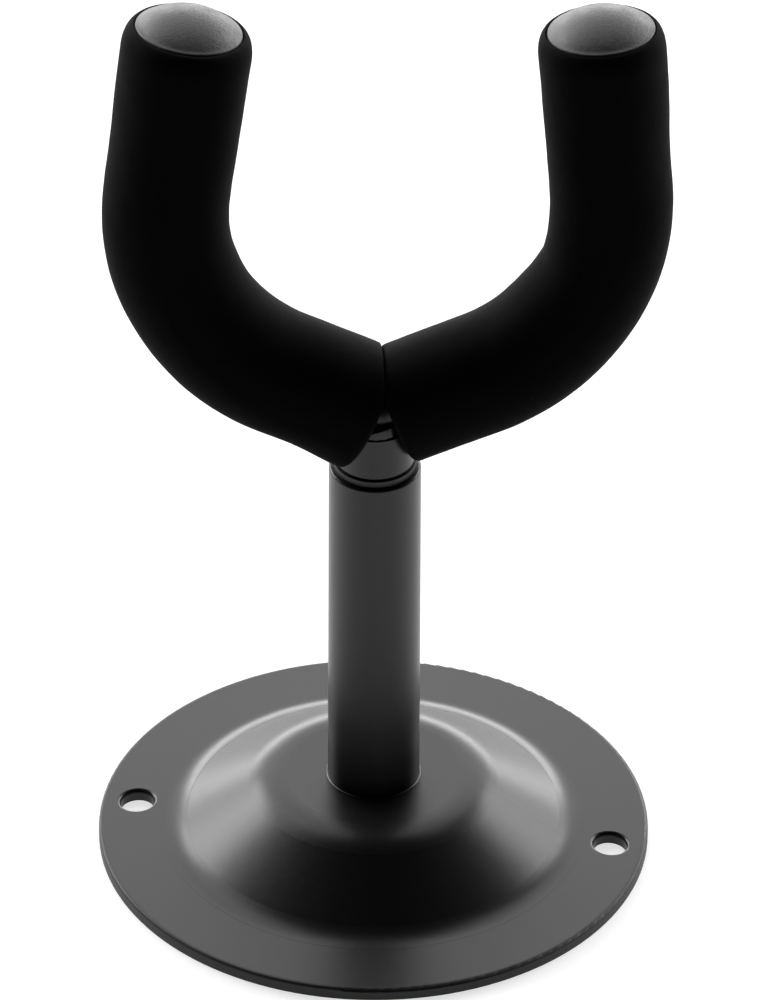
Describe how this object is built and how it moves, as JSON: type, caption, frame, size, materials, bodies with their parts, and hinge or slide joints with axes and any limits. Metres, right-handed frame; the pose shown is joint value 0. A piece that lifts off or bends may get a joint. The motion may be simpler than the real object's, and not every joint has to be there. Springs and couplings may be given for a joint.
{
  "type": "guitar wall hanger",
  "caption": "Wall hanger for a guitar: round domed wall plate with screw holes, a post tube, and a foam-padded steel fork that swivels in the tube's mouth.",
  "frame": {"origin": "middle of the line between the two screw holes, on the back face of the wall plate", "axes": "+Z out from the wall along the post, +X along the line of the screw holes, +Y up the wall"},
  "size_m": [0.0977, 0.096, 0.1702],
  "materials": {
    "powder_coat": "satin",
    "black_nylon": "satin",
    "black_foam": "matte",
    "cap_plastic": "satin",
    "zinc_steel": "satin"
  },
  "bodies": {
    "wall_base": {"base_plate": "powder_coat", "post_tube": "powder_coat", "post_weld": "powder_coat", "upper_bush": "black_nylon", "lower_bush": "black_nylon"},
    "fork": {"spindle": "powder_coat", "retaining_washer": "zinc_steel", "spring_washer": "zinc_steel", "retaining_screw": "zinc_steel", "fork_rod": "powder_coat", "fork_weld": "powder_coat", "foam_sleeve_left": "black_foam", "foam_sleeve_right": "black_foam", "end_cap_left": "cap_plastic", "end_cap_right": "cap_plastic"}
  },
  "joints": [
    {"name": "fork_swivel", "type": "hinge", "parent": "wall_base", "child": "fork", "pos_m": [0, 0, 0.08], "axis": [0, 0, 1], "continuous": true}
  ]
}
